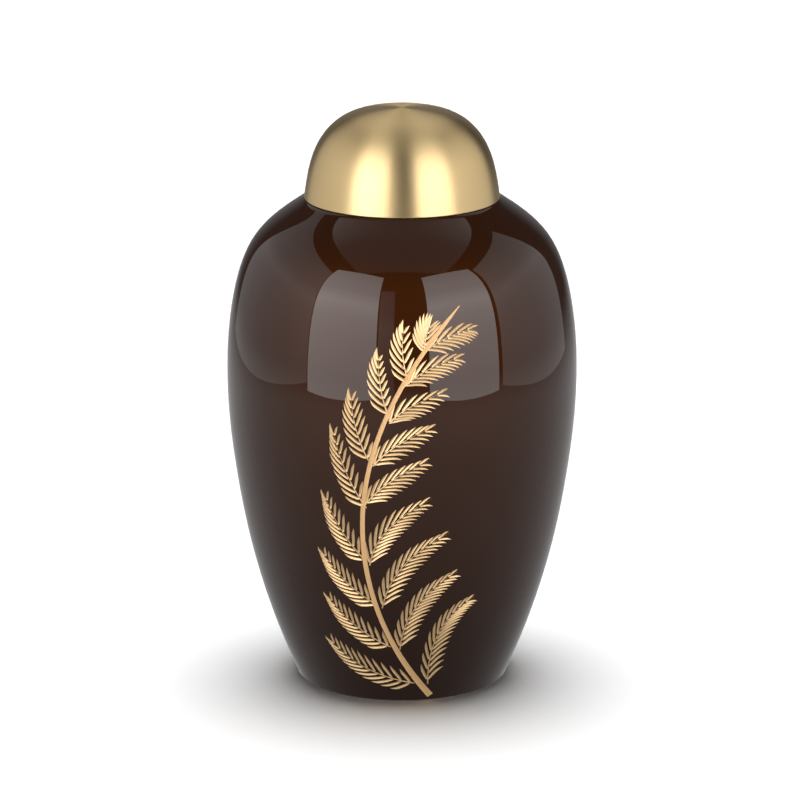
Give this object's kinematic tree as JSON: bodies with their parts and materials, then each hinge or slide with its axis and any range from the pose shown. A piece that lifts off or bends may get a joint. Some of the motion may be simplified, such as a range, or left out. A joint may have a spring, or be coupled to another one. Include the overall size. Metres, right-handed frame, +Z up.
{
  "type": "cremation urn",
  "caption": "Ovoid metal cremation urn with a narrow foot, a fern frond cut into its lacquered front and a domed lid that lifts off.",
  "frame": {"origin": "centre of the flat underside, on the vessel's axis", "axes": "+Z up along the vessel's axis, -Y towards the front, where the frond is, +X to the right seen from the front"},
  "size_m": [0.17, 0.17, 0.283],
  "materials": {
    "lacquered_body": "glossy dark brown lacquer over brass, with the frond cut through it into bright brass",
    "brushed_lid": "bright brass, finely brushed round the axis"
  },
  "bodies": {
    "root": {"urn_body": "lacquered_body", "dome_lid": "brushed_lid"}
  },
  "joints": []
}
